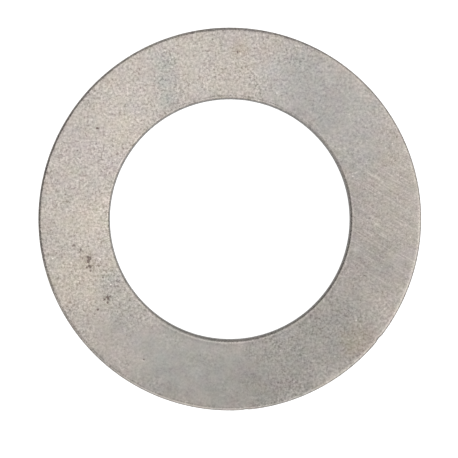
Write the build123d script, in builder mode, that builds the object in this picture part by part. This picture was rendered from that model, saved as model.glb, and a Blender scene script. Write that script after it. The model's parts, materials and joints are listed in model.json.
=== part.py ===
"""Shim ring: a flat steel spacer ring for a 10 mm shaft in a 16 mm housing bore.

The ring is one piece, cut from strip in a single stroke of a compound die and then
tumbled. A compound die cuts the bore and the rim together, so both walls show the
same four zones, going down from the face that the cutting edges met first:

    roll-over    the face is drawn down into the cut as a smooth quarter ellipse
    shear land   a straight, burnished cylinder, which sets the diameter
    torn zone    the metal parts by itself and slants back from the land
    broken edge  the burr is tumbled off the far face, which leaves a small bevel

Frame: millimetres, +Z along the ring's axis. The far face lies on Z = 0, with the
origin at the centre of the bore.
"""

import os

from build123d import *

# Ring
OUTSIDE_DIAMETER = 15.94  # across the rim's shear land, for a 16 mm housing bore
BORE_DIAMETER = 10.05  # across the bore's shear land, for a 10 mm shaft
THICKNESS = 1.0

# Zones of the two cut walls
ROLL_WIDTH = 0.13  # how far the roll-over reaches in from the wall, across the face
ROLL_DEPTH = 0.10  # how far the roll-over reaches down the wall
LAND_HEIGHT = 0.35  # height of the burnished cylinder below the roll-over
TORN_SETBACK = 0.04  # how far the torn zone has slanted back where it ends
EDGE_BREAK = 0.03  # bevel along the far face, the same on both legs


def cut_wall(wall_radius: float, metal_side: int) -> None:
    """Draw one cut wall of the section, from the near face down to the far face.

    The coordinates are (radius, height), and the lines join the active BuildLine.

    Args:
        wall_radius: radius of the wall's shear land.
        metal_side: 1 where the metal lies outside the wall, as at the bore, and
            -1 where it lies inside the wall, as at the rim.
    """
    land_top = THICKNESS - ROLL_DEPTH
    land_foot = land_top - LAND_HEIGHT
    torn_radius = wall_radius + metal_side * TORN_SETBACK
    EllipticalCenterArc(
        center=(wall_radius + metal_side * ROLL_WIDTH, land_top),
        x_radius=ROLL_WIDTH,
        y_radius=ROLL_DEPTH,
        start_angle=90,
        arc_size=90 * metal_side,
    )
    Polyline(
        (wall_radius, land_top),
        (wall_radius, land_foot),
        (torn_radius, EDGE_BREAK),
        (torn_radius + metal_side * EDGE_BREAK, 0),
    )


def flat_face(height: float, edge_loss: float) -> None:
    """Draw one flat face of the section, from the bore's edge to the rim's edge.

    Args:
        height: height of the face.
        edge_loss: how much of the face each wall's edge takes away.
    """
    Line(
        (BORE_DIAMETER / 2 + edge_loss, height),
        (OUTSIDE_DIAMETER / 2 - edge_loss, height),
    )


with BuildPart() as shim_ring:
    with BuildSketch(Plane.XZ):
        with BuildLine():
            cut_wall(BORE_DIAMETER / 2, metal_side=1)
            cut_wall(OUTSIDE_DIAMETER / 2, metal_side=-1)
            flat_face(THICKNESS, edge_loss=ROLL_WIDTH)
            flat_face(0, edge_loss=TORN_SETBACK + EDGE_BREAK)
        make_face()
    revolve(axis=Axis.Z)

shim_ring.part.label = "shim_ring"

os.makedirs("parts", exist_ok=True)
export_step(shim_ring.part, "parts/shim_ring.step")
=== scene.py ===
"""Dresses the shim ring: tumbled faces, rolled-over edges, cut walls, pits and nicks.

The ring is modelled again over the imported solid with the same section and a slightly
crowned top face, finely enough for smooth rims and for real dents, pits and nicks.
Lengths are in metres, and a bearing is an angle in degrees about the ring's axis,
counted from +X towards +Y.
"""

import json
import logging
import math
from collections.abc import Callable
from dataclasses import dataclass, field
from enum import Enum
from functools import cached_property

import bmesh
import bpy
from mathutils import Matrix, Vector


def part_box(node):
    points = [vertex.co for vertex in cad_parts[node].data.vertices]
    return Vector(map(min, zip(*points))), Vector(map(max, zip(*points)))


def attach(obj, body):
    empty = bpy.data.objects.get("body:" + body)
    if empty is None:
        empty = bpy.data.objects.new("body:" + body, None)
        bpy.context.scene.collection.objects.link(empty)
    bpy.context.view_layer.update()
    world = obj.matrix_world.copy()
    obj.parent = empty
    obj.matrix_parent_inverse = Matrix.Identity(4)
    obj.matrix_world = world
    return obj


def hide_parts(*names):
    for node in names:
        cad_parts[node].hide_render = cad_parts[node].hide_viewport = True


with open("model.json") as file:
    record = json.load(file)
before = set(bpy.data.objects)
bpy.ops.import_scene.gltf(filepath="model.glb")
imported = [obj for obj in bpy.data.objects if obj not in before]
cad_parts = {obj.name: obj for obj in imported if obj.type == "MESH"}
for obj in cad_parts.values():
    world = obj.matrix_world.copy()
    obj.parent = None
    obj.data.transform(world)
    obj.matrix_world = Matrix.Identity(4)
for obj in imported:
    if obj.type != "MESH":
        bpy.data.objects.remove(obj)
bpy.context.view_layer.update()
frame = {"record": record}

LOG = logging.getLogger("shim_ring")
MM = 0.001
UM = 0.000001
NEAR = 0.1 * UM
UP = (0.0, 0.0, 1.0)
LEVEL = (1.0, 1.0, 0.0)
WHITE = (1.0, 1.0, 1.0, 1.0)

Colour = tuple[float, float, float, float]
Feed = bpy.types.NodeSocket | float | tuple[float, ...]


class Zone(Enum):
    """The zones of the ring's skin, which are also its material slots."""

    TOP = 0
    WALL = 1
    UNDERSIDE = 2


def on_bearing(bearing: float, radius: float, height: float = 0.0) -> Vector:
    """Turn a bearing, a radius and a height into a point in the ring's frame.

    Args:
        bearing: angle about the axis, in degrees.
        radius: distance from the axis.
        height: height above the lower face.

    Returns:
        The point.
    """
    turn = math.radians(bearing)
    return Vector((radius * math.cos(turn), radius * math.sin(turn), height))


# --- Node sheets ---


class NodeSheet:
    """Draws up one node tree: adds nodes, feeds their inputs and links them."""

    def __init__(self, tree: bpy.types.NodeTree) -> None:
        """Take the tree to draw in."""
        self.tree = tree

    def add(
        self, kind: str, feeds: dict[str | int, Feed] | None = None, **settings: object
    ) -> bpy.types.Node:
        """Add a node.

        Args:
            kind: the node's type name.
            feeds: a value or an output socket for each named or numbered input.
            settings: the node's own properties.

        Returns:
            The new node.
        """
        node = self.tree.nodes.new(kind)
        for name, value in settings.items():
            setattr(node, name, value)
        for socket, value in (feeds or {}).items():
            if isinstance(value, bpy.types.NodeSocket):
                self.tree.links.new(value, node.inputs[socket])
            else:
                node.inputs[socket].default_value = value
        return node

    def math(self, operation: str, *values: Feed) -> bpy.types.NodeSocket:
        """Do arithmetic on values, and return the result's socket."""
        node = self.add("ShaderNodeMath", dict(enumerate(values)), operation=operation)
        return node.outputs[0]

    def total(self, *values: Feed) -> bpy.types.NodeSocket:
        """Add up two or more values, and return the sum's socket."""
        result = self.math("ADD", values[0], values[1])
        for value in values[2:]:
            result = self.math("ADD", result, value)
        return result

    def product(self, *values: Feed) -> bpy.types.NodeSocket:
        """Multiply two or more values, and return the product's socket."""
        result = self.math("MULTIPLY", values[0], values[1])
        for value in values[2:]:
            result = self.math("MULTIPLY", result, value)
        return result

    def remainder(self, mask: Feed, share: float = 1.0) -> bpy.types.NodeSocket:
        """Take a share of a mask from 1, and return what is left."""
        return self.math("SUBTRACT", 1.0, self.product(mask, share))

    def vector(self, operation: str, *values: Feed) -> bpy.types.NodeSocket:
        """Do vector arithmetic that gives a vector, and return its socket."""
        node = self.add("ShaderNodeVectorMath", dict(enumerate(values)), operation=operation)
        return node.outputs["Vector"]

    def measure(self, operation: str, *values: Feed) -> bpy.types.NodeSocket:
        """Do vector arithmetic that gives a number, and return its socket."""
        node = self.add("ShaderNodeVectorMath", dict(enumerate(values)), operation=operation)
        return node.outputs["Value"]

    def scaled(self, vector: Feed, factor: Feed) -> bpy.types.NodeSocket:
        """Multiply a vector or a colour by one factor, and return its socket."""
        parts = vector[:3] if isinstance(vector, tuple) else vector
        node = self.add("ShaderNodeVectorMath", {"Vector": parts, "Scale": factor}, operation="SCALE")
        return node.outputs["Vector"]

    def step(self, value: Feed, start: Feed, end: Feed) -> bpy.types.NodeSocket:
        """Rise smoothly from 0 where value is start to 1 where it is end."""
        feeds = {"Value": value, "From Min": start, "From Max": end}
        node = self.add("ShaderNodeMapRange", feeds, interpolation_type="SMOOTHSTEP")
        return node.outputs["Result"]

    def noise(
        self, vector: Feed, scale: Feed, detail: float = 2.0, roughness: float = 0.5
    ) -> bpy.types.NodeSocket:
        """Sample smooth noise of 0 to 1, and return its socket.

        Args:
            vector: where to sample it.
            scale: blobs in each unit of vector.
            detail: octaves of finer noise.
            roughness: share of the finer octaves.

        Returns:
            The socket of the noise value.
        """
        feeds = {"Vector": vector, "Scale": scale, "Detail": detail, "Roughness": roughness}
        return self.add("ShaderNodeTexNoise", feeds).outputs["Fac"]

    def swing(self, vector: Feed, scale: Feed, detail: float) -> bpy.types.NodeSocket:
        """Sample smooth noise that swings about zero, and return its socket."""
        return self.math("SUBTRACT", self.noise(vector, scale, detail), 0.5)

    def blend(self, factor: Feed, first: Feed, second: Feed) -> bpy.types.NodeSocket:
        """Mix two colours, and return the result's socket."""
        node = self.add("ShaderNodeMix", {0: factor, 6: first, 7: second}, data_type="RGBA")
        return node.outputs[2]

    def effect(self, group: bpy.types.NodeTree, **feeds: Feed) -> bpy.types.Node:
        """Place a shared effect, with its inputs fed by name, and return its node."""
        named = {name.replace("_", " ").capitalize(): value for name, value in feeds.items()}
        return self.add("ShaderNodeGroup", named, node_tree=group)


class Effects:
    """The surface effects that several finishes share, each a node group built once."""

    SPARKLE_FINENESS = 2.3
    LARGEST_SPOT = 0.42
    LINE_MEAN = 0.52
    BRIGHT_LINE_FROM = 0.60
    BRIGHT_LINE_FULL = 0.78
    BRIGHT_LINE_GAIN = 0.35

    @staticmethod
    def _open(
        name: str, inputs: dict[str, str], outputs: tuple[str, ...]
    ) -> tuple[NodeSheet, bpy.types.Node, bpy.types.Node]:
        """Start a node group with named sockets.

        Args:
            name: the group's name.
            inputs: each input's name and kind, Float or Vector.
            outputs: the names of the outputs, which are all floats.

        Returns:
            The group's sheet, its input node and its output node.
        """
        tree = bpy.data.node_groups.new(name, "ShaderNodeTree")
        for label, kind in inputs.items():
            tree.interface.new_socket(label, in_out="INPUT", socket_type=f"NodeSocket{kind}")
        for label in outputs:
            tree.interface.new_socket(label, in_out="OUTPUT", socket_type="NodeSocketFloat")
        sheet = NodeSheet(tree)
        return sheet, sheet.add("NodeGroupInput"), sheet.add("NodeGroupOutput")

    @staticmethod
    def _close(
        sheet: NodeSheet, sink: bpy.types.Node, results: dict[str, bpy.types.NodeSocket]
    ) -> bpy.types.NodeTree:
        """Link a group's results to its outputs, and return the finished group."""
        for label, socket in results.items():
            sheet.tree.links.new(socket, sink.inputs[label])
        return sheet.tree

    @cached_property
    def ring_place(self) -> bpy.types.NodeTree:
        """Distance from the ring's axis and height above its lower face."""
        sheet, source, sink = self._open("Ring place", {"Position": "Vector"}, ("Radius", "Height"))
        flat = sheet.vector("MULTIPLY", source.outputs["Position"], LEVEL)
        radius = sheet.measure("LENGTH", flat)
        parts = sheet.add("ShaderNodeSeparateXYZ", {"Vector": source.outputs["Position"]})
        return self._close(sheet, sink, {"Radius": radius, "Height": parts.outputs["Z"]})

    @cached_property
    def tumbled_grain(self) -> bpy.types.NodeTree:
        """Small peened blobs with a finer sparkle on them, both centred on zero."""
        inputs = {"Position": "Vector", "Grain size": "Float", "Sparkle": "Float"}
        sheet, source, sink = self._open("Tumbled grain", inputs, ("Tone", "Height"))
        density = sheet.math("DIVIDE", 1.0, source.outputs["Grain size"])
        blobs = sheet.noise(source.outputs["Position"], density, detail=1.5, roughness=0.6)
        finer = sheet.product(density, self.SPARKLE_FINENESS)
        glitter = sheet.swing(source.outputs["Position"], finer, detail=1.0)
        glints = sheet.product(glitter, source.outputs["Sparkle"])
        tone = sheet.total(blobs, -0.5, glints)
        return self._close(sheet, sink, {"Tone": tone, "Height": blobs})

    @cached_property
    def flecks(self) -> bpy.types.NodeTree:
        """Scattered small spots, of which only a chosen share shows."""
        inputs = {"Position": "Vector", "Spacing": "Float", "Share": "Float"}
        sheet, source, sink = self._open("Flecks", inputs, ("Mask",))
        density = sheet.math("DIVIDE", 1.0, source.outputs["Spacing"])
        feeds = {"Vector": source.outputs["Position"], "Scale": density}
        cells = sheet.add("ShaderNodeTexVoronoi", feeds)
        lot = sheet.add("ShaderNodeSeparateColor", {"Color": cells.outputs["Color"]})
        chosen = sheet.math("LESS_THAN", lot.outputs["Red"], source.outputs["Share"])
        reach = sheet.product(lot.outputs["Green"], self.LARGEST_SPOT)
        spot = sheet.step(cells.outputs["Distance"], reach, 0.0)
        return self._close(sheet, sink, {"Mask": sheet.product(spot, chosen)})

    @cached_property
    def hairlines(self) -> bpy.types.NodeTree:
        """Fine parallel scratches on one bearing, centred on zero."""
        inputs = {"Position": "Vector", "Bearing": "Float", "Spacing": "Float", "Length": "Float"}
        sheet, source, sink = self._open("Hairlines", inputs, ("Tone",))
        back = sheet.product(source.outputs["Bearing"], -1.0)
        feeds = {"Vector": source.outputs["Position"], "Angle": back}
        turned = sheet.add("ShaderNodeVectorRotate", feeds, rotation_type="Z_AXIS").outputs["Vector"]
        along = sheet.math("DIVIDE", 1.0, source.outputs["Length"])
        across = sheet.math("DIVIDE", 1.0, source.outputs["Spacing"])
        stretch = sheet.add("ShaderNodeCombineXYZ", {"X": along, "Y": across, "Z": across})
        drawn_out = sheet.vector("MULTIPLY", turned, stretch.outputs["Vector"])
        lines = sheet.noise(drawn_out, 1.0, detail=1.0)
        brightest = sheet.step(lines, self.BRIGHT_LINE_FROM, self.BRIGHT_LINE_FULL)
        bright = sheet.product(brightest, self.BRIGHT_LINE_GAIN)
        return self._close(sheet, sink, {"Tone": sheet.total(lines, bright, -self.LINE_MEAN)})

    @cached_property
    def soft_patch(self) -> bpy.types.NodeTree:
        """A round patch with a feathered, wandering border, the same at any height."""
        inputs = {"Position": "Vector", "Centre": "Vector", "Reach": "Float", "Feather": "Float"}
        sheet, source, sink = self._open("Soft patch", inputs, ("Mask",))
        flat = sheet.vector("MULTIPLY", source.outputs["Position"], LEVEL)
        gap = sheet.measure("DISTANCE", flat, source.outputs["Centre"])
        density = sheet.math("DIVIDE", 2.0, source.outputs["Reach"])
        wander = sheet.swing(source.outputs["Position"], density, detail=3.0)
        sway = sheet.product(wander, source.outputs["Reach"])
        outer = sheet.math("ADD", source.outputs["Reach"], source.outputs["Feather"])
        inner = sheet.math("SUBTRACT", source.outputs["Reach"], source.outputs["Feather"])
        mask = sheet.step(sheet.math("ADD", gap, sway), outer, inner)
        return self._close(sheet, sink, {"Mask": mask})

    @cached_property
    def ring_band(self) -> bpy.types.NodeTree:
        """A soft band all round the ring, at one radius."""
        inputs = {"Radius": "Float", "Middle": "Float", "Half width": "Float"}
        sheet, source, sink = self._open("Ring band", inputs, ("Mask",))
        offset = sheet.math("SUBTRACT", source.outputs["Radius"], source.outputs["Middle"])
        gap = sheet.math("ABSOLUTE", offset)
        mask = sheet.step(gap, source.outputs["Half width"], 0.0)
        return self._close(sheet, sink, {"Mask": mask})


EFFECTS = Effects()


# --- Finishes ---


@dataclass(frozen=True)
class Patch:
    """A soft-edged area of a face, and how much of an effect it carries."""

    bearing: float
    radius: float
    reach: float
    feather: float
    strength: float = 1.0


@dataclass(frozen=True)
class Tint:
    """A colour that some areas of a face take on, and the share of it that shows there."""

    colour: Colour
    patches: tuple[Patch, ...]
    share: float = 1.0


@dataclass(frozen=True)
class Fleck:
    """Scattered small spots, and how much brighter or darker than the steel they are.

    The strength goes with the grain, and the least strength is left where it is calm.
    """

    spacing: float
    share: float
    strength: float
    least: float = 0.0
    shift: tuple[float, float, float] = (0.0, 0.0, 0.0)


@dataclass(frozen=True)
class PitDirtAndEdgeShade:
    """Painted shade on the rolled edges and ragged dirt in the pits, by depth below the face."""

    colour: Colour = (0.165, 0.125, 0.110, 1.0)
    # painted shade: the share by which the rolled edges are darkened, standing in for their shading
    edge_shade: float = 0.16
    edge_shade_depths: tuple[float, float] = (4.0 * UM, 60.0 * UM)
    pit_depths: tuple[float, float] = (5.0 * UM, 17.0 * UM)
    crumb_size: float = 0.05 * MM
    crumb_sway: float = 26.0 * UM
    cover: float = 0.84
    unevenness: float = 0.9


@dataclass(frozen=True)
class RingSizes:
    """The ring's section, which the mesh and the finishes both follow."""

    bore_radius: float
    rim_radius: float
    thickness: float
    roll_width: float = 0.13 * MM
    roll_depth: float = 0.10 * MM
    land_height: float = 0.35 * MM
    torn_setback: float = 0.04 * MM
    edge_break: float = 0.03 * MM
    crown: float = 0.034 * MM

    @property
    def lip(self) -> float:
        """Height of the top face's two edges, below its crowned middle."""
        return self.thickness - self.crown

    @property
    def middle_radius(self) -> float:
        """Radius of the middle of the band."""
        return (self.bore_radius + self.rim_radius) / 2

    @property
    def land_top(self) -> float:
        """Height at which the roll-over ends and the shear land starts."""
        return self.lip - self.roll_depth

    @property
    def land_foot(self) -> float:
        """Height at which the shear land ends and the torn zone starts."""
        return self.land_top - self.land_height

    @property
    def face_bore_radius(self) -> float:
        """Radius at which the flat face starts."""
        return self.bore_radius + self.roll_width

    @property
    def face_rim_radius(self) -> float:
        """Radius at which the flat face ends."""
        return self.rim_radius - self.roll_width


def open_material(
    name: str,
) -> tuple[bpy.types.Material, NodeSheet, bpy.types.Node, bpy.types.NodeSocket]:
    """Start a material that holds one Principled shader.

    Args:
        name: the material's name.

    Returns:
        The material, its sheet, its shader and the socket of Object coordinates.
    """
    material = bpy.data.materials.new(name)
    material.use_nodes = True
    sheet = NodeSheet(material.node_tree)
    shader = material.node_tree.nodes["Principled BSDF"]
    position = sheet.add("ShaderNodeTexCoord").outputs["Object"]
    return material, sheet, shader, position


def finish_metal(
    sheet: NodeSheet,
    shader: bpy.types.Node,
    colour: bpy.types.NodeSocket,
    roughness: bpy.types.NodeSocket,
    relief: bpy.types.NodeSocket,
    relief_height: float,
) -> None:
    """Make a shader bare metal and feed it.

    Args:
        sheet: the material's sheet.
        shader: its Principled shader.
        colour: the metal's colour.
        roughness: its roughness.
        relief: its fine relief, from 0 to 1.
        relief_height: how high a relief of 1 stands.
    """
    feeds = {"Strength": 1.0, "Distance": relief_height, "Height": relief}
    bump = sheet.add("ShaderNodeBump", feeds)
    shader.inputs["Metallic"].default_value = 1.0
    sheet.tree.links.new(colour, shader.inputs["Base Color"])
    sheet.tree.links.new(roughness, shader.inputs["Roughness"])
    sheet.tree.links.new(bump.outputs["Normal"], shader.inputs["Normal"])


@dataclass(frozen=True)
class TumbledSteel:
    """A flat face of tumbled strip: peened grain, tints, scratches, and dirt in its pits."""

    name: str
    sizes: RingSizes
    face_height: float
    # real dirt in the pits, and painted shade on the rolled edges
    dirt: PitDirtAndEdgeShade | None = None
    tints: tuple[Tint, ...] = ()
    smooth_patches: tuple[Patch, ...] = ()
    scratched_patches: tuple[Patch, ...] = ()
    # where the band of painted shade shows, on the side of the face away from the light
    shade_band_patches: tuple[Patch, ...] = ()

    warm: Colour = (0.486, 0.443, 0.399, 1.0)
    rosy: Colour = (0.472, 0.430, 0.399, 1.0)
    bare: Colour = (0.468, 0.444, 0.419, 1.0)
    drift_size: float = 1.6 * MM
    drift_range: tuple[float, float] = (0.40, 0.62)
    dab_size: float = 0.55 * MM
    dab_strength: float = 0.036
    mottle_size: float = 0.38 * MM
    mottle_strength: float = 0.33

    grain_size: float = 0.11 * MM
    fine_grain_size: float = 0.075 * MM
    fine_share: float = 0.7
    grain_strength: float = 1.48
    sparkle: float = 0.7
    crowd_size: float = 0.7 * MM
    crowd_range: tuple[float, float] = (0.25, 0.75)
    sparse_grain: float = 0.75
    crowding: float = 0.5
    smooth_calming: float = 0.70
    scratch_calming: float = 0.10
    glints: Fleck = Fleck(spacing=0.15 * MM, share=0.09, strength=0.60, least=0.18)
    specks: Fleck = Fleck(
        spacing=0.17 * MM, share=0.07, strength=-0.50, shift=(3.1 * MM, 1.7 * MM, 0.0)
    )

    scratch_bearing: float = -31.0
    scratch_spacing: float = 0.06 * MM
    scratch_length: float = 1.1 * MM
    scratch_strength: float = 0.42
    scratch_least: float = 0.04
    # a band of painted shade at one radius, dark where a shallow slope of the face turns from the
    # light
    shade_band_radius: float = 5.22 * MM
    shade_band_half_width: float = 0.13 * MM
    shade_band_strength: float = -0.10

    edge_feather: tuple[float, float] = (0.02 * MM, 0.05 * MM)
    roughness: float = 0.40
    grain_roughness: float = 0.25
    smooth_polish: float = -0.03
    edge_burnish: float = -0.14
    relief_height: float = 2.0 * UM

    def _patches(
        self, sheet: NodeSheet, position: bpy.types.NodeSocket, patches: tuple[Patch, ...]
    ) -> Feed:
        """Draw the union of several patches, and return its mask."""
        mask: Feed = 0.0
        for patch in patches:
            spot = sheet.effect(
                EFFECTS.soft_patch,
                position=position,
                centre=on_bearing(patch.bearing, patch.radius),
                reach=patch.reach,
                feather=patch.feather,
            )
            share = sheet.product(spot.outputs["Mask"], patch.strength)
            mask = sheet.math("MAXIMUM", mask, share)
        return mask

    def _on_face(self, sheet: NodeSheet, place: bpy.types.Node) -> bpy.types.NodeSocket:
        """Tell the flat face from its two rolled edges, and return the mask."""
        radius = place.outputs["Radius"]
        inner, outer = self.sizes.face_bore_radius, self.sizes.face_rim_radius
        over, within = self.edge_feather
        inward = sheet.step(radius, inner - over, inner + within)
        outward = sheet.step(radius, outer + over, outer - within)
        return sheet.product(inward, outward)

    def _scatter(
        self, sheet: NodeSheet, position: bpy.types.NodeSocket, flecks: Fleck, grain_share: Feed
    ) -> bpy.types.NodeSocket:
        """Scatter flecks over the face.

        Args:
            sheet: the material's sheet.
            position: Object coordinates.
            flecks: the kind of fleck.
            grain_share: how strong the grain is there.

        Returns:
            The tone that the flecks add.
        """
        moved = sheet.vector("ADD", position, flecks.shift)
        spots = sheet.effect(
            EFFECTS.flecks, position=moved, spacing=flecks.spacing, share=flecks.share
        )
        strength = sheet.math("ADD", sheet.product(grain_share, flecks.strength), flecks.least)
        return sheet.product(spots.outputs["Mask"], strength)

    def _tinted(self, sheet: NodeSheet, position: bpy.types.NodeSocket) -> bpy.types.NodeSocket:
        """Lay the steel's tints over each other, and return the colour."""
        drifting = sheet.noise(position, 1.0 / self.drift_size, detail=4.0)
        steel = sheet.blend(sheet.step(drifting, *self.drift_range), self.warm, self.rosy)
        for tint in self.tints:
            area = self._patches(sheet, position, tint.patches)
            steel = sheet.blend(sheet.product(area, tint.share), steel, tint.colour)
        return steel

    def _soiled_and_edge_shaded(
        self,
        sheet: NodeSheet,
        position: bpy.types.NodeSocket,
        place: bpy.types.Node,
        on_face: bpy.types.NodeSocket,
        colour: bpy.types.NodeSocket,
    ) -> bpy.types.NodeSocket:
        """Darken the roll-over with painted shade and the pits with ragged dirt.

        Args:
            sheet: the material's sheet.
            position: Object coordinates.
            place: the ring place effect, which gives radius and height.
            on_face: the mask of the flat face.
            colour: the clean face's colour.

        Returns:
            The soiled colour.
        """
        dirt, crown, middle = self.dirt, self.sizes.crown, self.sizes.middle_radius
        from_middle = sheet.math("SUBTRACT", place.outputs["Radius"], middle)
        across = sheet.math("DIVIDE", from_middle, self.sizes.face_rim_radius - middle)
        fall = sheet.product(across, across, crown)
        surface = sheet.math("SUBTRACT", self.face_height, sheet.math("MINIMUM", fall, crown))
        depth = sheet.math("SUBTRACT", surface, place.outputs["Height"])

        # painted shade: the roll-over is darkened as it falls below the face
        deep = sheet.step(depth, *dirt.edge_shade_depths)
        shaded_roll_over = sheet.product(deep, sheet.remainder(on_face))
        edge_shaded = sheet.scaled(colour, sheet.remainder(shaded_roll_over, dirt.edge_shade))

        crumbs = sheet.swing(position, 1.0 / dirt.crumb_size, detail=2.0)
        ragged = sheet.math("ADD", depth, sheet.product(crumbs, dirt.crumb_sway))
        dirty = sheet.product(sheet.step(ragged, *dirt.pit_depths), on_face)
        cover = sheet.math("ADD", sheet.product(crumbs, dirt.unevenness), dirt.cover)
        return sheet.blend(sheet.product(dirty, cover), edge_shaded, dirt.colour)

    def material(self) -> bpy.types.Material:
        """Build the material."""
        material, sheet, shader, position = open_material(self.name)
        place = sheet.effect(EFFECTS.ring_place, position=position)
        on_face = self._on_face(sheet, place)
        smooth = self._patches(sheet, position, self.smooth_patches)
        scratched = self._patches(sheet, position, self.scratched_patches)

        grain, fine_grain = (
            sheet.effect(
                EFFECTS.tumbled_grain, position=position, grain_size=size, sparkle=self.sparkle
            )
            for size in (self.grain_size, self.fine_grain_size)
        )
        crowding = sheet.noise(position, 1.0 / self.crowd_size, detail=2.0)
        crowd = sheet.product(sheet.step(crowding, *self.crowd_range), self.crowding)
        lively = sheet.math("ADD", self.sparse_grain, crowd)
        calm = sheet.product(lively, sheet.remainder(smooth, self.smooth_calming))
        calmer = sheet.product(calm, sheet.remainder(scratched, self.scratch_calming))
        fine_share = sheet.product(scratched, self.fine_share)
        coarse_part = sheet.product(grain.outputs["Tone"], sheet.remainder(fine_share))
        fine_part = sheet.product(fine_grain.outputs["Tone"], fine_share)
        mixed_grain = sheet.math("ADD", coarse_part, fine_part)
        grain_tone = sheet.product(mixed_grain, sheet.product(calmer, self.grain_strength))

        lines = sheet.effect(
            EFFECTS.hairlines,
            position=position,
            bearing=math.radians(self.scratch_bearing),
            spacing=self.scratch_spacing,
            length=self.scratch_length,
        )
        line_share = sheet.product(scratched, self.scratch_strength)
        line_share = sheet.math("ADD", line_share, self.scratch_least)
        line_tone = sheet.product(lines.outputs["Tone"], line_share)
        glint_tone = self._scatter(sheet, position, self.glints, calmer)
        speck_tone = self._scatter(sheet, position, self.specks, calm)

        mottle = sheet.swing(position, 1.0 / self.mottle_size, detail=3.0)
        # painted shade: a dark band round the face, shown only where its patches lie
        shade_band = sheet.effect(
            EFFECTS.ring_band,
            radius=place.outputs["Radius"],
            middle=self.shade_band_radius,
            half_width=self.shade_band_half_width,
        )
        shaded_side = self._patches(sheet, position, self.shade_band_patches)
        shade_band_depth = sheet.product(shaded_side, self.shade_band_strength)
        shade_band_tone = sheet.product(shade_band.outputs["Mask"], shade_band_depth)
        broad_tone = sheet.total(1.0, sheet.product(mottle, self.mottle_strength), shade_band_tone)
        fine_tone = sheet.total(grain_tone, line_tone, glint_tone, speck_tone)

        feeds = {"Vector": position, "Scale": 1.0 / self.dab_size, "Detail": 1.0}
        dabs = sheet.add("ShaderNodeTexNoise", feeds).outputs["Color"]
        dabs = sheet.scaled(sheet.vector("SUBTRACT", dabs, (0.5, 0.5, 0.5)), self.dab_strength)
        speckled = sheet.vector("ADD", sheet.scaled(self.bare, fine_tone), dabs)
        steel = sheet.scaled(self._tinted(sheet, position), broad_tone)
        colour = sheet.vector("ADD", steel, speckled)
        # real dirt in the pits, and painted shade on the rolled edges
        if self.dirt:
            colour = self._soiled_and_edge_shaded(sheet, position, place, on_face, colour)

        rough = sheet.total(
            self.roughness,
            sheet.product(grain.outputs["Tone"], self.grain_roughness),
            sheet.product(smooth, self.smooth_polish),
            sheet.product(sheet.remainder(on_face), self.edge_burnish),
        )
        relief = sheet.math("ADD", sheet.product(grain.outputs["Height"], calmer), line_tone)
        finish_metal(sheet, shader, colour, rough, relief, self.relief_height)
        return material


@dataclass(frozen=True)
class CutWall:
    """A cut wall: a burnished shear land above, and a torn grey zone below it."""

    name: str
    sizes: RingSizes
    burnished: Colour = (0.46, 0.44, 0.415, 1.0)
    torn: Colour = (0.27, 0.255, 0.24, 1.0)
    streak_width: float = 0.05 * MM
    streak_stretch: float = 0.08
    crumb_size: float = 0.05 * MM
    crumb_sparkle: float = 0.8
    border_size: float = 0.45 * MM
    border_sway: float = 0.12 * MM
    border_feather: float = 0.012 * MM
    land_streaks: float = 0.35
    torn_streaks: float = 0.5
    roughness: float = 0.24
    streak_roughness: float = 0.2
    torn_roughness: float = 0.34
    crumb_relief: float = 4.0
    relief_height: float = 1.5 * UM

    def material(self) -> bpy.types.Material:
        """Build the material."""
        material, sheet, shader, position = open_material(self.name)
        height = sheet.effect(EFFECTS.ring_place, position=position).outputs["Height"]

        upright = sheet.vector("MULTIPLY", position, (1.0, 1.0, self.streak_stretch))
        streaks = sheet.swing(upright, 1.0 / self.streak_width, detail=3.0)
        crumbs = sheet.effect(
            EFFECTS.tumbled_grain,
            position=position,
            grain_size=self.crumb_size,
            sparkle=self.crumb_sparkle,
        )

        wander = sheet.swing(upright, 1.0 / self.border_size, detail=4.0)
        border = sheet.math("ADD", self.sizes.land_foot, sheet.product(wander, self.border_sway))
        above = sheet.math("SUBTRACT", height, border)
        torn = sheet.step(above, self.border_feather, -self.border_feather)

        land_tone = sheet.math("ADD", 1.0, sheet.product(streaks, self.land_streaks))
        torn_streaks = sheet.product(streaks, self.torn_streaks)
        torn_tone = sheet.total(1.0, torn_streaks, crumbs.outputs["Tone"])
        land = sheet.scaled(self.burnished, land_tone)
        colour = sheet.blend(torn, land, sheet.scaled(self.torn, torn_tone))
        rough = sheet.total(
            self.roughness,
            sheet.product(streaks, self.streak_roughness),
            sheet.product(torn, self.torn_roughness),
        )
        ragged = sheet.math("ADD", sheet.product(crumbs.outputs["Height"], self.crumb_relief), streaks)
        relief = sheet.math("ADD", streaks, sheet.product(torn, ragged))
        finish_metal(sheet, shader, colour, rough, relief, self.relief_height)
        return material


# --- The ring ---


@dataclass(frozen=True)
class Pit:
    """A small corrosion pit in the top face."""

    bearing: float
    radius: float
    width: float
    steepness: float = 0.18

    @property
    def depth(self) -> float:
        """Depth of the pit, which goes with its width."""
        return self.steepness * self.width


@dataclass(frozen=True)
class Nick:
    """A small knock in the rim's upper edge."""

    bearing: float
    width: float
    depth: float


@dataclass(frozen=True)
class Ripple:
    """A faint relief over the whole skin."""

    name: str
    wavelength: float
    height: float


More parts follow.
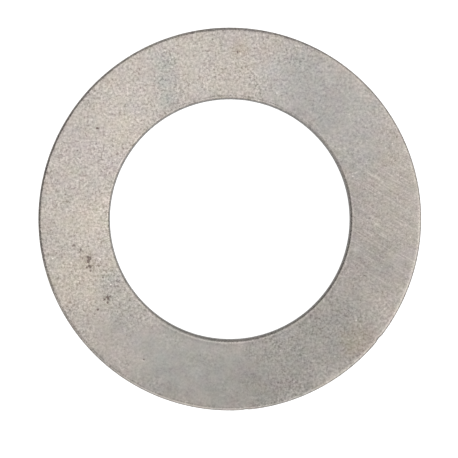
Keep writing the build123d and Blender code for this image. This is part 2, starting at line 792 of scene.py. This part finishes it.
@dataclass
class ShimRing:
    """The ring: its section spun round the axis, then dented, pitted and nicked."""

    sizes: RingSizes
    pits: tuple[Pit, ...] = ()
    nicks: tuple[Nick, ...] = ()
    ripples: tuple[Ripple, ...] = (
        Ripple("strip waves", 2.4 * MM, 3.0 * UM),
        Ripple("tumbling dents", 0.45 * MM, 1.6 * UM),
    )
    steps: int = 720
    roll_facets: int = 8
    roll_fullness: float = 0.38
    break_facets: int = 2
    break_fullness: float = 0.5
    face_rings: int = 47
    underside_rings: int = 10
    wall_rows: int = 3
    smooth_angle: float = 30.0
    ring: bpy.types.Object = field(init=False)

    SHORTEST_ROW = UM
    ROW_SLACK = 2.0 * UM
    LONG_SIDE = 1.0 * MM
    TOP_SKIN = 0.05 * MM
    PIT_FINE_REACH = 1.3
    PIT_FLOOR_REACH = 0.3
    PIT_SLOPE_REACH = 0.6
    NICK_FLOOR_REACH = 0.4
    NICK_DROP = 0.3
    WALL_SHARE_OF_BREAK = 0.2

    def build(self) -> bpy.types.Object:
        """Model the ring and return it, undressed."""
        self._cut_section()
        self._crown_face()
        self._spin_section()
        self._roughen()
        self._press_pits()
        self._knock_rim()
        bpy.ops.object.mode_set(mode="OBJECT")
        bpy.ops.object.shade_smooth_by_angle(angle=math.radians(self.smooth_angle))
        return self.ring

    def dress(self, finishes: dict[Zone, bpy.types.Material]) -> None:
        """Give each zone of the skin its finish.

        Args:
            finishes: the material of each zone.
        """
        for zone in Zone:
            self.ring.data.materials.append(finishes[zone])
        sizes = self.sizes
        wall_depth = sizes.torn_setback + self.WALL_SHARE_OF_BREAK * sizes.edge_break
        for face in self.ring.data.polygons:
            out = math.hypot(face.center.x, face.center.y)
            if face.center.z > sizes.land_top:
                zone = Zone.TOP
            elif out < sizes.bore_radius + wall_depth or out > sizes.rim_radius - wall_depth:
                zone = Zone.WALL
            else:
                zone = Zone.UNDERSIDE
            face.material_index = zone.value

    def _clear_picks(self, kind: str) -> bmesh.types.BMesh:
        """Deselect all, and return the mesh that is being edited.

        Args:
            kind: the kind of element that is picked next, VERT or EDGE.

        Returns:
            The mesh, with nothing selected.
        """
        bpy.ops.mesh.select_mode(type=kind)
        bpy.ops.mesh.select_all(action="DESELECT")
        return bmesh.from_edit_mesh(self.ring.data)

    def _show_picks(self, mesh: bmesh.types.BMesh) -> None:
        """Pass the picked elements on to the mesh's other elements."""
        mesh.select_flush_mode()
        bmesh.update_edit_mesh(self.ring.data)

    def _pick_points(self, test: Callable[[Vector], bool]) -> None:
        """Select only the vertices whose place passes a test."""
        mesh = self._clear_picks("VERT")
        for vertex in mesh.verts:
            vertex.select = test(vertex.co)
        self._show_picks(mesh)

    def _pick_edges(self, test: Callable[[Vector, Vector], bool]) -> None:
        """Select only the edges whose two ends pass a test."""
        mesh = self._clear_picks("EDGE")
        for edge in mesh.edges:
            edge.select = test(edge.verts[0].co, edge.verts[1].co)
        self._show_picks(mesh)

    def _cut_section(self) -> None:
        """Shape a plane into the ring's section, and leave only its outline."""
        sizes = self.sizes
        bpy.ops.object.select_all(action="DESELECT")
        bpy.ops.mesh.primitive_plane_add(
            size=1.0,
            location=(sizes.middle_radius, 0.0, sizes.lip / 2),
            rotation=(math.radians(90.0), 0.0, 0.0),
        )
        self.ring = bpy.context.object
        self.ring.name = self.ring.data.name = "shim_ring_steel"
        self.ring.scale = (sizes.rim_radius - sizes.bore_radius, sizes.lip, 1.0)
        bpy.ops.object.transform_apply(location=True, rotation=True, scale=True)
        bpy.ops.object.mode_set(mode="EDIT")

        self._pick_points(lambda place: place.z > sizes.lip - NEAR)
        self._round_corners(sizes.roll_width, self.roll_facets, self.roll_fullness)
        self._pick_points(lambda place: place.z > sizes.lip - sizes.roll_width - NEAR)
        squash = sizes.roll_depth / sizes.roll_width
        bpy.ops.transform.resize(value=(1.0, 1.0, squash), center_override=(0.0, 0.0, sizes.lip))

        bpy.ops.mesh.select_all(action="SELECT")
        bpy.ops.mesh.delete(type="ONLY_FACE")
        bpy.ops.mesh.select_all(action="SELECT")
        bpy.ops.mesh.bisect(plane_co=(0.0, 0.0, sizes.land_foot), plane_no=UP)

        for wall, metal_side in ((sizes.bore_radius, 1.0), (sizes.rim_radius, -1.0)):
            self._pick_points(lambda place: place.z < NEAR and abs(place.x - wall) < NEAR)
            bpy.ops.transform.translate(value=(metal_side * sizes.torn_setback, 0.0, 0.0))
        self._pick_points(lambda place: place.z < NEAR)
        self._round_corners(sizes.edge_break, self.break_facets, self.break_fullness)
        for low, high in ((sizes.land_foot, sizes.land_top), (sizes.edge_break, sizes.land_foot)):
            self._pick_edges(
                lambda one, two: min(one.z, two.z) > low - self.ROW_SLACK
                and max(one.z, two.z) < high + NEAR
                and abs(one.z - two.z) > self.SHORTEST_ROW
            )
            bpy.ops.mesh.subdivide(number_cuts=self.wall_rows)

    def _round_corners(self, reach: float, facets: int, fullness: float) -> None:
        """Round the picked corners of the section.

        Args:
            reach: how far along each side the rounding starts.
            facets: facets of each rounding.
            fullness: 0.25 for a flat chamfer, 0.5 for a full round.
        """
        bpy.ops.mesh.bevel(
            offset=reach,
            segments=facets,
            affect="VERTICES",
            profile=fullness,
            clamp_overlap=False,
        )

    def _crown_face(self) -> None:
        """Cut the section's upper side finely and swell it, then cut its lower side."""
        sizes = self.sizes
        self._cut_side(sizes.lip, self.face_rings)
        self._pick_points(
            lambda place: abs(place.z - sizes.lip) < NEAR
            and abs(place.x - sizes.middle_radius) < NEAR
        )
        bpy.ops.transform.translate(
            value=(0.0, 0.0, sizes.crown),
            use_proportional_edit=True,
            proportional_edit_falloff="INVERSE_SQUARE",
            proportional_size=sizes.face_rim_radius - sizes.middle_radius,
        )
        self._cut_side(0.0, self.underside_rings)

    def _cut_side(self, level: float, cuts: int) -> None:
        """Cut the section's long side at one height into equal pieces."""
        self._pick_edges(
            lambda one, two: abs(one.z - level) < NEAR
            and abs(two.z - level) < NEAR
            and (one - two).length > self.LONG_SIDE
        )
        bpy.ops.mesh.subdivide(number_cuts=cuts)

    def _spin_section(self) -> None:
        """Spin the outline once round the axis into a closed ring."""
        bpy.ops.mesh.select_all(action="SELECT")
        bpy.ops.mesh.spin(
            steps=self.steps,
            dupli=False,
            angle=math.tau,
            use_auto_merge=True,
            center=(0.0, 0.0, 0.0),
            axis=UP,
        )
        bpy.ops.mesh.select_all(action="SELECT")
        bpy.ops.mesh.remove_doubles(threshold=UM)
        bpy.ops.mesh.normals_make_consistent(inside=False)

    def _roughen(self) -> None:
        """Give the whole skin the faint waves and dents that tumbling leaves."""
        bpy.ops.object.mode_set(mode="OBJECT")
        for ripple in self.ripples:
            texture = bpy.data.textures.new(ripple.name, "CLOUDS")
            texture.noise_scale = ripple.wavelength
            texture.noise_depth = 1
            relief = self.ring.modifiers.new(ripple.name, "DISPLACE")
            relief.texture = texture
            relief.texture_coords = "LOCAL"
            relief.direction = "NORMAL"
            relief.mid_level = 0.5
            relief.strength = ripple.height
            bpy.ops.object.modifier_apply(modifier=ripple.name)
        bpy.ops.object.mode_set(mode="EDIT")

    def _pick_top(self, bearing: float, radius: float, reach: float) -> None:
        """Select the top face's vertices within reach of a place on it."""
        top = self.sizes.thickness
        centre = on_bearing(bearing, radius, top)
        self._pick_points(
            lambda place: place.z > top - self.TOP_SKIN and (place - centre).length < reach
        )

    def _press_pits(self) -> None:
        """Refine the top face round each pit, then press the pit in.

        A face that its refined neighbours leave with more than four sides is fanned out.
        """
        for pit in self.pits:
            self._pick_top(pit.bearing, pit.radius, self.PIT_FINE_REACH * pit.width)
            bpy.ops.mesh.select_mode(type="FACE")
            bpy.ops.mesh.subdivide(number_cuts=1)
        bpy.ops.mesh.select_face_by_sides(number=4, type="GREATER", extend=False)
        bpy.ops.mesh.poke()
        for pit in self.pits:
            self._pick_top(pit.bearing, pit.radius, self.PIT_FLOOR_REACH * pit.width)
            bpy.ops.transform.translate(
                value=(0.0, 0.0, -pit.depth),
                use_proportional_edit=True,
                proportional_edit_falloff="SMOOTH",
                proportional_size=self.PIT_SLOPE_REACH * pit.width,
            )

    def _knock_rim(self) -> None:
        """Push the rim's upper edge in at each nick."""
        for nick in self.nicks:
            centre = on_bearing(nick.bearing, self.sizes.rim_radius, self.sizes.land_top)
            floor = self.NICK_FLOOR_REACH * nick.width
            self._pick_points(lambda place: (place - centre).length < floor)
            bpy.ops.transform.translate(
                value=on_bearing(nick.bearing, -nick.depth, -self.NICK_DROP * nick.depth),
                use_proportional_edit=True,
                proportional_edit_falloff="SHARP",
                proportional_size=nick.width,
            )


# --- The studio ---


@dataclass(frozen=True)
class SoftBox:
    """A soft square lamp that faces the ring."""

    name: str
    bearing: float
    reach: float
    height: float
    side: float
    radiance: float

    def hang(self) -> None:
        """Make the lamp and turn it to the ring."""
        lamp = bpy.data.lights.new(self.name, "AREA")
        lamp.shape = "SQUARE"
        lamp.size = self.side
        lamp.energy = self.radiance * math.pi * self.side**2
        holder = bpy.data.objects.new(self.name, lamp)
        bpy.context.scene.collection.objects.link(holder)
        holder.location = on_bearing(self.bearing, self.reach, self.height)
        holder.rotation_mode = "QUATERNION"
        holder.rotation_quaternion = holder.location.to_track_quat("Z", "Y")
        holder.visible_camera = False


@dataclass(frozen=True)
class Glow:
    """A soft glow on the room's walls, such as a window or a pale card makes.

    It is round, from full where the cosine of the angle to its centre is full to nothing
    where it is edge, and it fades out over the last part of its height up to its ceiling.
    """

    bearing: float
    rise: float
    edge: float
    full: float
    radiance: float
    ceiling: float = 2.0

    def draw(self, sheet: NodeSheet, direction: bpy.types.NodeSocket) -> bpy.types.NodeSocket:
        """Draw the glow, and return its radiance by direction.

        Args:
            sheet: the world's sheet.
            direction: the direction that is looked in.

        Returns:
            The socket of the radiance.
        """
        rise = math.radians(self.rise)
        centre = on_bearing(self.bearing, math.cos(rise), math.sin(rise))
        facing = sheet.measure("DOT_PRODUCT", direction, centre)
        height = sheet.add("ShaderNodeSeparateXYZ", {"Vector": direction}).outputs["Z"]
        below = sheet.step(height, self.ceiling, self.ceiling / 2)
        shape = sheet.step(facing, self.edge, self.full)
        return sheet.product(shape, below, self.radiance)


@dataclass(frozen=True)
class Studio:
    """A plain pale table, a dim room with soft glows, a soft lamp and the camera."""

    table_side: float = 3.0
    table_gap: float = 2.0 * UM
    table_roughness: float = 0.9
    table_pale: Colour = (0.64, 0.64, 0.64, 1.0)
    table_glow: float = 0.85
    backdrop: float = 1.05
    room: float = 0.20
    glows: tuple[Glow, ...] = (
        Glow(bearing=260.0, rise=5.0, edge=0.15, full=0.7, radiance=0.53),
        Glow(bearing=300.0, rise=5.0, edge=0.15, full=0.7, radiance=0.58, ceiling=0.75),
        Glow(bearing=10.0, rise=45.0, edge=0.5, full=0.95, radiance=1.00),
        Glow(bearing=90.0, rise=10.0, edge=0.5, full=0.9, radiance=0.26),
    )
    soft_box: SoftBox = SoftBox(
        "overhead_soft_box",
        bearing=151.0,
        reach=20.0 * MM,
        height=40.0 * MM,
        side=46.0 * MM,
        radiance=0.875,
    )
    camera_height: float = 53.0 * MM
    camera_span: float = 19.376 * MM
    aim: tuple[float, float] = (-0.031 * MM, -0.415 * MM)

    def build(self) -> None:
        """Set up the table, the light and the camera."""
        self._lay_table()
        self._light_room()
        self.soft_box.hang()
        self._place_camera()
        bpy.context.scene.view_settings.view_transform = "Standard"

    def _lay_table(self) -> None:
        """Lay the table: mid-grey to the metal, nearly white to the camera."""
        bpy.ops.object.select_all(action="DESELECT")
        place = (0.0, 0.0, -self.table_gap)
        bpy.ops.mesh.primitive_plane_add(size=self.table_side, location=place)
        table = bpy.context.object
        table.name = "table"
        material, sheet, shader, _ = open_material("pale table")
        shader.inputs["Base Color"].default_value = self.table_pale
        shader.inputs["Roughness"].default_value = self.table_roughness
        shader.inputs["Emission Color"].default_value = WHITE
        seen = sheet.add("ShaderNodeLightPath").outputs["Is Camera Ray"]
        glow = sheet.product(seen, self.table_glow)
        sheet.tree.links.new(glow, shader.inputs["Emission Strength"])
        table.data.materials.append(material)

    def _light_room(self) -> None:
        """Light the room: dim all round, with glows on its walls, and plain to the camera."""
        world = bpy.data.worlds.new("room")
        bpy.context.scene.world = world
        world.use_nodes = True
        sheet = NodeSheet(world.node_tree)
        direction = sheet.add("ShaderNodeTexCoord").outputs["Generated"]
        radiance = sheet.total(self.room, *(glow.draw(sheet, direction) for glow in self.glows))
        lit = world.node_tree.nodes["Background"]
        lit.inputs["Color"].default_value = WHITE
        sheet.tree.links.new(radiance, lit.inputs["Strength"])
        feeds = {"Color": WHITE, "Strength": self.backdrop}
        plain = sheet.add("ShaderNodeBackground", feeds)
        seen = sheet.add("ShaderNodeLightPath").outputs["Is Camera Ray"]
        mixed = sheet.add("ShaderNodeMixShader", {0: seen, 1: lit.outputs[0], 2: plain.outputs[0]})
        sink = world.node_tree.nodes["World Output"]
        sheet.tree.links.new(mixed.outputs[0], sink.inputs["Surface"])

    def _place_camera(self) -> None:
        """Hang the camera straight above the ring, looking down."""
        lens = bpy.data.cameras.new("camera")
        lens.lens = lens.sensor_width * self.camera_height / self.camera_span
        lens.clip_start = 1.0 * MM
        camera = bpy.data.objects.new("camera", lens)
        bpy.context.scene.collection.objects.link(camera)
        camera.location = (*self.aim, self.camera_height)
        bpy.context.scene.camera = camera


# --- Making it ---


def ring_sizes() -> RingSizes:
    """Read the ring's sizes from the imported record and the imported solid."""
    radii = {mount["name"]: mount["dims"].get("r_mm") for mount in frame["record"]["mounts"]}
    low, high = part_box("shim_ring")
    return RingSizes(
        bore_radius=radii["bore"] * MM,
        rim_radius=radii["outer_rim"] * MM,
        thickness=high.z - low.z,
    )


def marked_ring(sizes: RingSizes) -> ShimRing:
    """Lay out the pits in the ring's top face and the nicks in its rim.

    Args:
        sizes: the ring's section.

    Returns:
        The ring, ready to build.
    """
    pits = (
        Pit(bearing=195.7, radius=6.05 * MM, width=0.14 * MM, steepness=0.145),
        Pit(bearing=196.7, radius=6.14 * MM, width=0.13 * MM, steepness=0.145),
        Pit(bearing=194.9, radius=6.13 * MM, width=0.09 * MM),
        Pit(bearing=198.7, radius=6.27 * MM, width=0.09 * MM),
        Pit(bearing=198.5, radius=6.16 * MM, width=0.10 * MM),
        Pit(bearing=199.1, radius=6.13 * MM, width=0.09 * MM),
        Pit(bearing=200.4, radius=6.17 * MM, width=0.10 * MM),
        Pit(bearing=189.7, radius=6.58 * MM, width=0.10 * MM),
        Pit(bearing=191.7, radius=6.31 * MM, width=0.10 * MM),
        Pit(bearing=192.5, radius=6.40 * MM, width=0.09 * MM),
        Pit(bearing=195.0, radius=6.31 * MM, width=0.08 * MM),
        Pit(bearing=204.8, radius=5.80 * MM, width=0.10 * MM),
        Pit(bearing=213.5, radius=6.06 * MM, width=0.11 * MM),
        Pit(bearing=212.4, radius=6.03 * MM, width=0.10 * MM, steepness=0.22),
        Pit(bearing=212.9, radius=5.91 * MM, width=0.10 * MM, steepness=0.22),
        Pit(bearing=212.7, radius=6.19 * MM, width=0.10 * MM, steepness=0.22),
        Pit(bearing=214.4, radius=6.14 * MM, width=0.10 * MM, steepness=0.22),
        Pit(bearing=214.3, radius=6.65 * MM, width=0.11 * MM),
        Pit(bearing=185.1, radius=6.39 * MM, width=0.08 * MM),
        Pit(bearing=215.3, radius=6.87 * MM, width=0.08 * MM),
        Pit(bearing=145.6, radius=6.67 * MM, width=0.12 * MM),
        Pit(bearing=171.5, radius=6.90 * MM, width=0.09 * MM),
        Pit(bearing=238.6, radius=6.84 * MM, width=0.09 * MM),
        Pit(bearing=87.4, radius=6.94 * MM, width=0.10 * MM),
        Pit(bearing=77.3, radius=7.31 * MM, width=0.09 * MM),
    )
    nicks = (
        Nick(bearing=321.3, width=0.16 * MM, depth=0.05 * MM),
        Nick(bearing=274.8, width=0.14 * MM, depth=0.035 * MM),
    )
    return ShimRing(sizes, pits, nicks)


def top_finish(sizes: RingSizes) -> TumbledSteel:
    """Lay out the tints, the smooth and scratched areas and the marks of the top face.

    Args:
        sizes: the ring's section.

    Returns:
        The finish of the top face.
    """
    straw = Tint(
        colour=(0.515, 0.464, 0.405, 1.0),
        patches=(
            Patch(bearing=180.0, radius=5.8 * MM, reach=0.8 * MM, feather=0.7 * MM),
            Patch(bearing=202.0, radius=6.9 * MM, reach=1.2 * MM, feather=0.9 * MM),
            Patch(bearing=206.0, radius=5.7 * MM, reach=0.6 * MM, feather=0.5 * MM, strength=0.7),
            Patch(bearing=141.0, radius=5.6 * MM, reach=0.7 * MM, feather=0.6 * MM, strength=0.6),
        ),
    )
    pale = Tint(
        colour=(0.452, 0.427, 0.402, 1.0),
        patches=(
            Patch(bearing=40.0, radius=6.4 * MM, reach=1.4 * MM, feather=0.7 * MM),
            Patch(bearing=26.0, radius=5.9 * MM, reach=0.8 * MM, feather=0.6 * MM),
            Patch(bearing=70.0, radius=6.1 * MM, reach=0.9 * MM, feather=0.6 * MM),
        ),
    )
    cool = Tint(
        colour=(0.407, 0.394, 0.368, 1.0),
        patches=(
            Patch(bearing=248.0, radius=6.2 * MM, reach=1.5 * MM, feather=0.9 * MM),
            Patch(bearing=265.0, radius=6.5 * MM, reach=1.2 * MM, feather=0.7 * MM),
            Patch(bearing=112.6, radius=7.0 * MM, reach=0.45 * MM, feather=0.45 * MM),
            Patch(bearing=115.0, radius=6.3 * MM, reach=0.40 * MM, feather=0.40 * MM),
            Patch(bearing=116.5, radius=5.7 * MM, reach=0.40 * MM, feather=0.40 * MM),
        ),
    )
    grey = Tint(
        colour=(0.407, 0.388, 0.370, 1.0),
        patches=(
            Patch(bearing=64.0, radius=6.9 * MM, reach=1.0 * MM, feather=0.7 * MM),
            Patch(bearing=54.0, radius=6.2 * MM, reach=1.3 * MM, feather=0.8 * MM),
        ),
    )
    drab = Tint(
        colour=(0.396, 0.373, 0.345, 1.0),
        patches=(
            Patch(bearing=287.0, radius=6.5 * MM, reach=1.8 * MM, feather=0.5 * MM),
            Patch(bearing=292.0, radius=5.8 * MM, reach=1.4 * MM, feather=0.8 * MM),
            Patch(bearing=312.0, radius=6.3 * MM, reach=1.6 * MM, feather=1.0 * MM),
            Patch(bearing=343.0, radius=6.2 * MM, reach=1.0 * MM, feather=0.9 * MM, strength=0.6),
            Patch(bearing=262.0, radius=5.2 * MM, reach=0.7 * MM, feather=0.6 * MM),
            Patch(bearing=246.0, radius=5.2 * MM, reach=0.7 * MM, feather=0.6 * MM),
            Patch(bearing=224.0, radius=6.0 * MM, reach=0.8 * MM, feather=0.9 * MM),
            Patch(bearing=209.0, radius=5.5 * MM, reach=0.5 * MM, feather=0.5 * MM),
        ),
    )
    tarnish = Tint(
        colour=(0.42, 0.36, 0.30, 1.0),
        patches=(
            Patch(bearing=316.6, radius=7.5 * MM, reach=0.7 * MM, feather=0.5 * MM),
            Patch(bearing=86.5, radius=7.1 * MM, reach=0.28 * MM, feather=0.25 * MM),
            Patch(bearing=197.0, radius=6.1 * MM, reach=0.30 * MM, feather=0.30 * MM),
        ),
        share=0.6,
    )
    return TumbledSteel(
        "tumbled steel, top",
        sizes,
        face_height=sizes.thickness,
        # real dirt in the pits, and painted shade on the rolled edges
        dirt=PitDirtAndEdgeShade(),
        tints=(straw, pale, cool, grey, drab, tarnish),
        smooth_patches=(
            Patch(bearing=226.0, radius=6.9 * MM, reach=0.9 * MM, feather=0.9 * MM, strength=0.8),
            Patch(bearing=241.0, radius=6.4 * MM, reach=1.5 * MM, feather=1.0 * MM),
            Patch(bearing=262.0, radius=6.5 * MM, reach=2.8 * MM, feather=1.6 * MM),
            Patch(bearing=305.0, radius=6.5 * MM, reach=2.6 * MM, feather=1.6 * MM, strength=0.5),
            Patch(bearing=335.0, radius=6.5 * MM, reach=2.2 * MM, feather=1.4 * MM, strength=0.2),
            Patch(bearing=48.0, radius=6.5 * MM, reach=2.2 * MM, feather=1.2 * MM, strength=0.6),
        ),
        scratched_patches=(
            Patch(bearing=0.0, radius=7.0 * MM, reach=3.0 * MM, feather=1.4 * MM),
        ),
        # the band of painted shade shows on the lower right, away from the light
        shade_band_patches=(
            Patch(bearing=300.0, radius=4.5 * MM, reach=5.6 * MM, feather=1.5 * MM),
        ),
    )


def main() -> None:
    logging.basicConfig(level=logging.INFO, format="%(name)s: %(message)s")
    sizes = ring_sizes()

    shim = marked_ring(sizes)
    ring = shim.build()
    LOG.info("%s: %d faces", ring.name, len(ring.data.polygons))

    top = top_finish(sizes)
    underside = TumbledSteel("tumbled steel, underside", sizes, face_height=0.0)
    wall = CutWall("cut wall", sizes)
    finishes = {
        Zone.TOP: top.material(),
        Zone.WALL: wall.material(),
        Zone.UNDERSIDE: underside.material(),
    }
    shim.dress(finishes)
    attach(ring, "root")
    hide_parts("shim_ring")
    LOG.info("%s: dressed, and rides on root", ring.name)

    Studio().build()
    LOG.info("studio: table, room, soft box and camera are set up")
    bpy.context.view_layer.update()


if __name__ == "__main__":
    main()
